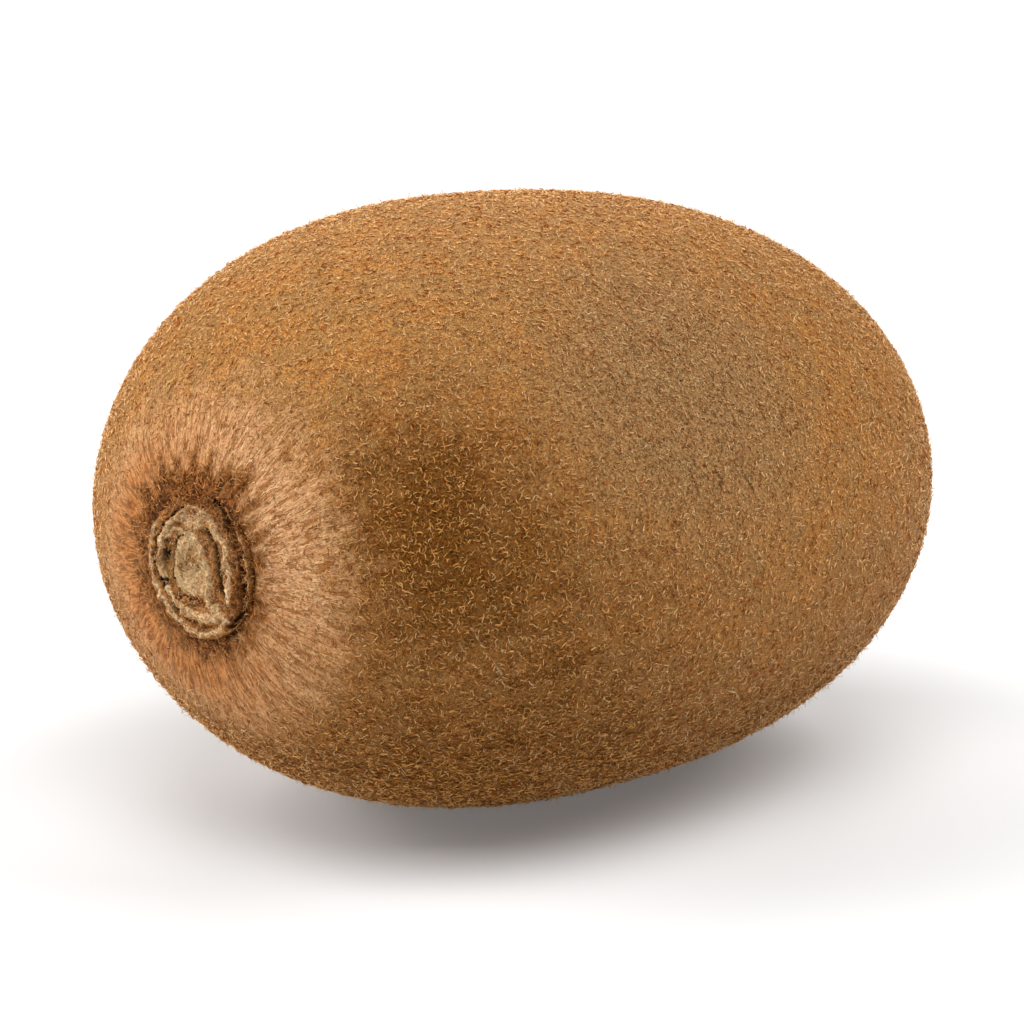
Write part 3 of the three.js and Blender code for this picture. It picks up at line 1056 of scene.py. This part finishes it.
def skin_finish():
    finish = Finish("kiwi_skin", roughness=0.6, specular=0.1)
    place = finish.place()
    matted, combed, dusky_and_shaded, sparse_and_sheen, rusty = finish.attributes(*LOOKS)
    patches = finish.noise(place, 3.0)
    pits = 1 - finish.noise(place, 0.2, detail=2.0, distortion=0.6).eased(0.34, 0.5)
    flecks = finish.noise(place, 0.4, detail=2.0, distortion=0.8).eased(0.58, 0.66)
    curls = finish.curls(place, 0.34, 0.0)
    lower_curls = finish.curls(place, 0.28, 40.0)
    streaks = combed_streaks(finish, 34.0, 0.0)
    hairlines = 1 - (combed_streaks(finish, 42.0, 40.0) * 2 - 1).size().eased(0.02, 0.13)
    tufts = finish.noise(place, 0.5, detail=2.0, distortion=0.8)

    colour = finish.mix(patches.eased(0.4, 0.6), *PLAIN_SKIN)
    # partly a painted sheen: greyer skin on the flank, where the hair is thinner
    colour = finish.mix(sparse_and_sheen * 0.7, colour, SPARSE_SHEEN_SKIN)
    # painted shade: the dusky look darkens the skin over the belly and the underside, and partly on
    # the shoulder
    colour = finish.mix(dusky_and_shaded * 0.85, colour, DUSKY_SHADED_SKIN)
    # painted shade in the dark pits between the hairs, partly dark skin
    deep = finish.mix(dusky_and_shaded, *PIT_SHADES)
    colour = finish.mix(pits * (0.5 + 0.3 * sparse_and_sheen + 0.25 * dusky_and_shaded), colour, deep)
    colour = finish.mix(flecks * 0.6, colour, FLECKS)
    colour = finish.mix(lower_curls * 0.5, colour, finish.mix(dusky_and_shaded, *LOWER_CURLS))
    colour = finish.mix(curls * 0.7, colour, finish.mix(dusky_and_shaded, *UPPER_CURLS))
    fair = finish.mix(streaks.eased(0.4, 0.56), *COMBED_SKIN)
    fair = finish.mix(hairlines * 0.9, fair, HAIRLINES)
    # painted shade in the pits of the combed skin, partly dark skin
    fair = finish.mix(pits * 0.7, fair, COMBED_PIT_SHADE)
    rust = finish.mix(streaks.eased(0.4, 0.56), *RUSTY_SKIN)
    fair = finish.mix(rusty * 0.85, fair, rust)
    colour = finish.mix(combed * 0.9, colour, fair)
    clumps = finish.mix(tufts.eased(0.4, 0.6), *MATTED_SKIN)
    colour = finish.mix(matted * 0.95, colour, clumps)
    # painted shade in the creases, and the pale scratches
    for marks, shown in ((CREASES, CREASE_SHADE_BROWN), (SCRATCHES, SCRATCH_CREAM)):
        for mark in marks:
            colour = finish.mix(finish.line(place, *mark) * MARK_STRENGTH, colour, shown)
    finish.paint(colour)
    curled = (curls + lower_curls * 0.6 - pits * 0.6) * (1 - combed)
    height = curled * 0.6 + (streaks + hairlines) * combed * 0.4 + tufts * matted
    finish.roughen(height, 0.2)
    return finish


# Colours of the hairs, by look, from the darkest hair to the fairest
PLAIN_HAIR = shades((194, 128, 64), (242, 190, 126))
PLAIN_DARK_HAIR = from_srgb(156, 84, 26)  # among the others
# hairs on the sparse flank, paler and greyer at their fair end, partly a painted sheen
SPARSE_SHEEN_HAIR = shades((150, 84, 30), (240, 194, 140))
COMBED_HAIR = shades((182, 116, 60), (230, 174, 116))
COMBED_DARK_HAIR = from_srgb(146, 74, 18)
RUSTY_HAIR = shades((142, 78, 22), (218, 150, 80))
# hairs of the dusky look, darker partly as painted shade
DUSKY_SHADED_HAIR = shades((138, 76, 14), (224, 164, 86))
MATTED_HAIR = shades((110, 60, 18), (186, 116, 52))
MATTED_FAIR_HAIR = from_srgb(220, 158, 92)
HAIR_ROOTS = from_srgb(108, 62, 18)
# Pale tips of stray hairs: paler hair, partly a painted glow of light through them
STRAY_TIP_GLOW = from_srgb(252, 220, 168)


def hair_finish():
    finish = Finish("kiwi_hair", roughness=0.5, specular=0.15)
    shade, along, stray = finish.attributes("shade", "along", "stray")
    matted, combed, dusky_and_shaded, sparse_and_sheen, rusty = finish.attributes(*LOOKS)
    fairness = shade.eased(0.1, 0.9)
    colour = finish.mix(fairness, *PLAIN_HAIR)
    colour = finish.mix(shade.eased(0.34, 0.24), colour, PLAIN_DARK_HAIR)
    # partly a painted sheen: hair colours of the sparse flank
    colour = finish.mix(sparse_and_sheen * 0.8, colour, finish.mix(fairness, *SPARSE_SHEEN_HAIR))
    fair = finish.mix(fairness, *COMBED_HAIR)
    fair = finish.mix(shade.eased(0.46, 0.38), fair, COMBED_DARK_HAIR)
    fair = finish.mix(rusty * 0.9, fair, finish.mix(fairness, *RUSTY_HAIR))
    colour = finish.mix(combed * 0.85, colour, fair)
    # painted shade: darker hairs where the dusky look lies
    colour = finish.mix(dusky_and_shaded, colour, finish.mix(fairness, *DUSKY_SHADED_HAIR))
    brown = finish.mix(shade.eased(0.1, 0.6), *MATTED_HAIR)
    brown = finish.mix(shade.eased(0.6, 0.9), brown, MATTED_FAIR_HAIR)
    colour = finish.mix(matted * 0.95, colour, brown)
    colour = finish.mix(along.eased(0.0, 0.5) * 0.5 + 0.5, HAIR_ROOTS, colour)
    # partly a painted glow: stray hairs pale towards their tips
    glowing_tips = stray * along.eased(0.0, 0.6) * (0.8 - 0.6 * matted)
    finish.paint(finish.mix(glowing_tips, colour, STRAY_TIP_GLOW))
    return finish


# Colours of the stem scar, by the kind of mark, from dark to pale
SCAR_WOOD = shades((112, 60, 18), (214, 144, 78))
PLUG_WOOD = shades((176, 116, 50), (242, 206, 152))
RUSTY_WOOD = shades((92, 48, 14), (168, 98, 38))
OLIVE_WOOD = shades((96, 60, 18), (172, 122, 52))
PALE_WOOD = shades((226, 160, 96), (248, 210, 158))
WOOD_FIBRES = from_srgb(255, 206, 154)
# Gaps between fibres and hollows in the grain: darker wood, partly painted shade
WOOD_GAP_SHADE = from_srgb(110, 66, 22)
WOOD_HOLLOW_SHADE = from_srgb(100, 58, 18)
# near black, painted shade for the scar's grooves, crevice and pits
GROOVE_SHADE = from_srgb(40, 20, 4)
WOOD_RIM = from_srgb(112, 70, 30)


def scar_finish():
    finish = Finish("stem_scar_wood", roughness=0.8, specular=0.05)
    place = finish.place()
    grain = finish.noise(place, 0.22, detail=4.0, roughness=0.65, distortion=0.6)
    mottles = finish.noise(place, 0.9, detail=3.0, distortion=1.0)
    fibres = finish.curls(place, 0.28, 5.0)
    shaded_gaps = finish.curls(place, 0.3, 60.0)
    pale, dark_and_shaded, olive, rusty = finish.attributes("pale", "dark_and_shaded", "olive", "rusty")
    plug, inward = finish.attributes("plug", "inward")
    mixed = mottles * 0.6 + grain * 0.4
    colour = finish.mix(mixed.eased(0.4, 0.58), *SCAR_WOOD)
    colour = finish.mix(plug, colour, finish.mix(mixed.eased(0.4, 0.54), *PLUG_WOOD))
    colour = finish.mix(rusty * 0.9, colour, finish.mix(mixed.eased(0.4, 0.6), *RUSTY_WOOD))
    colour = finish.mix(olive * 0.85, colour, finish.mix(mixed.eased(0.4, 0.6), *OLIVE_WOOD))
    light = finish.mix(mixed.eased(0.36, 0.54), *PALE_WOOD)
    colour = finish.mix(pale.eased(0.15, 0.5) * 0.95, colour, light)
    colour = finish.mix(fibres * 0.5, colour, WOOD_FIBRES)
    # painted shade, partly darker wood, in the gaps between fibres and in the grain's hollows
    colour = finish.mix(shaded_gaps * (0.4 - 0.2 * plug), colour, WOOD_GAP_SHADE)
    hollow_shade = grain.eased(0.42, 0.3) * (0.5 - 0.25 * plug)
    colour = finish.mix(hollow_shade, colour, WOOD_HOLLOW_SHADE)
    # painted shade, near black, in the scar's grooves, crevice and pits
    colour = finish.mix(dark_and_shaded.eased(0.1, 0.8) * 0.95, colour, GROOVE_SHADE)
    finish.paint(finish.mix(inward.eased(0.2, 0.1), colour, WOOD_RIM))
    finish.roughen(grain + mottles + fibres * 0.8 - shaded_gaps * 0.6, 0.16)
    return finish


# Colours of the dried blossom end
DRIED_WOOD = shades((44, 26, 12), (140, 98, 56))
STYLE_TAN = from_srgb(172, 124, 74)
BEAK_RIM = from_srgb(128, 82, 38)


def dried_finish():
    finish = Finish("dried_blossom", roughness=0.8, specular=0.2)
    grain = finish.noise(finish.place(), 0.5, detail=5.0)
    shade, inward = finish.attributes("shade", "inward")
    colour = finish.mix(grain.eased(0.4, 0.6), *DRIED_WOOD)
    colour = finish.mix(shade * 0.8, colour, STYLE_TAN)
    finish.paint(finish.mix(inward.eased(0.4, 0.1) * (1 - shade), colour, BEAK_RIM))
    finish.roughen(grain, 0.15)
    return finish


# -------- studio
def view_axes():
    """Right, up and towards the camera, as the camera sees them."""
    level = Vector((sin(CAMERA_AROUND), -cos(CAMERA_AROUND), 0))
    toward = level * cos(CAMERA_RISE) + Vector((0, 0, sin(CAMERA_RISE)))
    right = Vector((0, 0, 1)).cross(toward).normalized()
    return right, toward.cross(right), toward


def set_camera():
    right, up, toward = view_axes()
    camera = bpy.data.objects.new("camera", bpy.data.cameras.new("camera"))
    bpy.context.scene.collection.objects.link(camera)
    camera.data.lens = CAMERA_LENS
    camera.data.clip_start = 10 * MM
    placed = Matrix((right, up, toward)).transposed().to_4x4()
    aim = MIDDLE + AIM_RIGHT * right + AIM_UP * up
    placed.translation = (aim + CAMERA_DISTANCE * toward) * MM
    camera.matrix_world = placed
    bpy.context.scene.camera = camera


SOFTBOX_DISTANCE = 800
SOFTBOX_SIDE = 550
SOFTBOXES = {
    # name: which way it lies, as right, up and towards the camera, and its watts
    "high_left": ((-0.80, 0.60, 0.05), 4.10),
    "low_left": ((-0.95, 0.25, 0.20), 3.30),
    "high_back": ((0.0, 0.80, -0.60), 2.65),
    "high_right": ((0.70, 0.70, 0.10), 4.30),
    "high_front": ((0.0, 0.70, 0.70), 4.60),
}
TABLE_SIDE = 6  # metres
TABLE_WHITE = (0.68, 0.68, 0.68)
TABLE_GLOW = 0.128


def set_lights():
    right, up, toward = view_axes()
    for name, (way, watts) in SOFTBOXES.items():
        light = bpy.data.lights.new(name, "AREA")
        light.shape = "SQUARE"
        light.size = SOFTBOX_SIDE * MM
        light.energy = watts
        lamp = bpy.data.objects.new(name, light)
        toward_lamp = (way[0] * right + way[1] * up + way[2] * toward).normalized()
        lamp.location = (MIDDLE + SOFTBOX_DISTANCE * toward_lamp) * MM
        lamp.rotation_euler = toward_lamp.to_track_quat("Z", "Y").to_euler()
        bpy.context.scene.collection.objects.link(lamp)
    world = bpy.data.worlds.new("studio")
    world.use_nodes = True
    world.node_tree.nodes["Background"].inputs["Strength"].default_value = 0.0
    bpy.context.scene.world = world
    bpy.context.scene.view_settings.view_transform = "Standard"


def make_floor():
    deselect()
    bpy.ops.mesh.primitive_plane_add(size=TABLE_SIDE)
    floor = bpy.context.object
    floor.name = "floor"
    finish = Finish("white_table", roughness=0.9, specular=0.0)
    finish.paint(TABLE_WHITE)
    finish.shader.inputs["Emission Color"].default_value = (1, 1, 1, 1)
    finish.shader.inputs["Emission Strength"].default_value = TABLE_GLOW
    finish.wear(floor)


# -------- assembly
def finish_piece(piece, finish):
    finish.wear(piece)
    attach(piece, "root")


set_camera()
set_lights()
make_floor()

skin = make_skin()
finish_piece(skin, skin_finish())
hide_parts("kiwi_fruit")
scar = make_stem_scar()
finish_piece(scar, scar_finish())

dried = dried_finish()
finish_piece(make_beak(), dried)
finish_piece(make_styles(), dried)

hair = hair_finish()
finish_piece(grow_scar_fuzz(scar), hair)
for coat in grow_hairs(skin):
    finish_piece(coat, hair)
